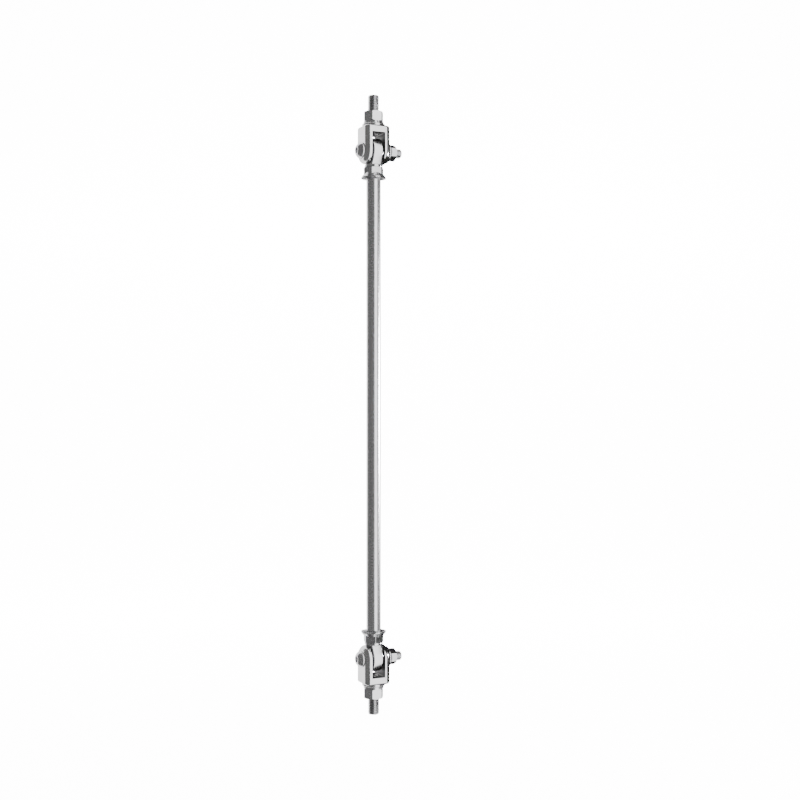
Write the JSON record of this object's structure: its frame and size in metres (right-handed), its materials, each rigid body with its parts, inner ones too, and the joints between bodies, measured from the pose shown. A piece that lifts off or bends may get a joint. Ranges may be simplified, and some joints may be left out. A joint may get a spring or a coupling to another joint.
{
  "type": "rigging turnbuckle",
  "caption": "Rod-type rigging turnbuckle: a threaded tube joins pivoting forks on screwed eyes, with lock nuts, and each fork ends in a threaded mounting stud.",
  "frame": {"origin": "on the long axis, at the outer face of the upper stud nut, where the stud's free thread begins", "axes": "+Z along the tube towards the upper stud's tip; X along both clevis bolts, their heads on -X; Y across the forks' slots"},
  "size_m": [0.0505, 0.028, 0.6492],
  "materials": {
    "tube_steel": "drawn stainless tube, fine lengthwise lines",
    "fork_steel": "polished stainless, softly rounded edges",
    "eye_steel": "polished stainless",
    "bush_polymer": "black bearing polymer, matte",
    "bolt_steel": "bright stainless screw",
    "flange_nut_steel": "darker stainless, serrated flange",
    "stud_steel": "rolled stainless thread",
    "nut_steel": "bright stainless nut",
    "washer_steel": "satin stainless"
  },
  "bodies": {
    "upper_anchor": {"upper_fork": "fork_steel", "upper_stud": "stud_steel", "upper_stud_nut": "nut_steel", "upper_spring_washer": "washer_steel", "upper_plain_washer": "washer_steel", "upper_clevis_bolt": "bolt_steel", "upper_clevis_nut": "flange_nut_steel"},
    "upper_eye": {"upper_eye": "eye_steel", "upper_bush_head_side": "bush_polymer", "upper_bush_nut_side": "bush_polymer"},
    "upper_lock_nut": {"upper_lock_nut": "flange_nut_steel"},
    "barrel": {"barrel_tube": "tube_steel"},
    "lower_lock_nut": {"lower_lock_nut": "flange_nut_steel"},
    "lower_eye": {"lower_eye": "eye_steel", "lower_bush_head_side": "bush_polymer", "lower_bush_nut_side": "bush_polymer"},
    "lower_anchor": {"lower_fork": "fork_steel", "lower_stud": "stud_steel", "lower_stud_nut": "nut_steel", "lower_spring_washer": "washer_steel", "lower_plain_washer": "washer_steel", "lower_clevis_bolt": "bolt_steel", "lower_clevis_nut": "flange_nut_steel"}
  },
  "joints": [
    {"name": "upper_pivot", "type": "hinge", "parent": "upper_anchor", "child": "upper_eye", "pos_m": [0, 0, -0.04178], "axis": [1, 0, 0], "range_deg": [-90, 90]},
    {"name": "upper_thread", "type": "slide", "parent": "upper_eye", "child": "upper_lock_nut", "axis": [0, 0, -1], "range_m": [0, 0.0245]},
    {"name": "barrel_turn", "type": "hinge", "parent": "upper_lock_nut", "child": "barrel", "pos_m": [0, 0, -0.04178], "axis": [0, 0, -1], "range_deg": [0, 5040]},
    {"name": "lower_hold", "type": "hinge", "parent": "barrel", "child": "lower_lock_nut", "pos_m": [0, 0, -0.57338], "axis": [0, 0, -1], "range_deg": [-5040, 0]},
    {"name": "lower_thread", "type": "slide", "parent": "lower_lock_nut", "child": "lower_eye", "axis": [0, 0, -1], "range_m": [0, 0.0245]},
    {"name": "lower_pivot", "type": "hinge", "parent": "lower_eye", "child": "lower_anchor", "pos_m": [0, 0, -0.57338], "axis": [1, 0, 0], "range_deg": [-90, 90]}
  ],
  "couplings": [
    {"joint": "barrel_turn", "follows": "upper_thread", "rad_per_m": 3590.4},
    {"joint": "lower_hold", "follows": "upper_thread", "rad_per_m": -3590.4},
    {"joint": "lower_thread", "follows": "upper_thread", "ratio": 1}
  ]
}
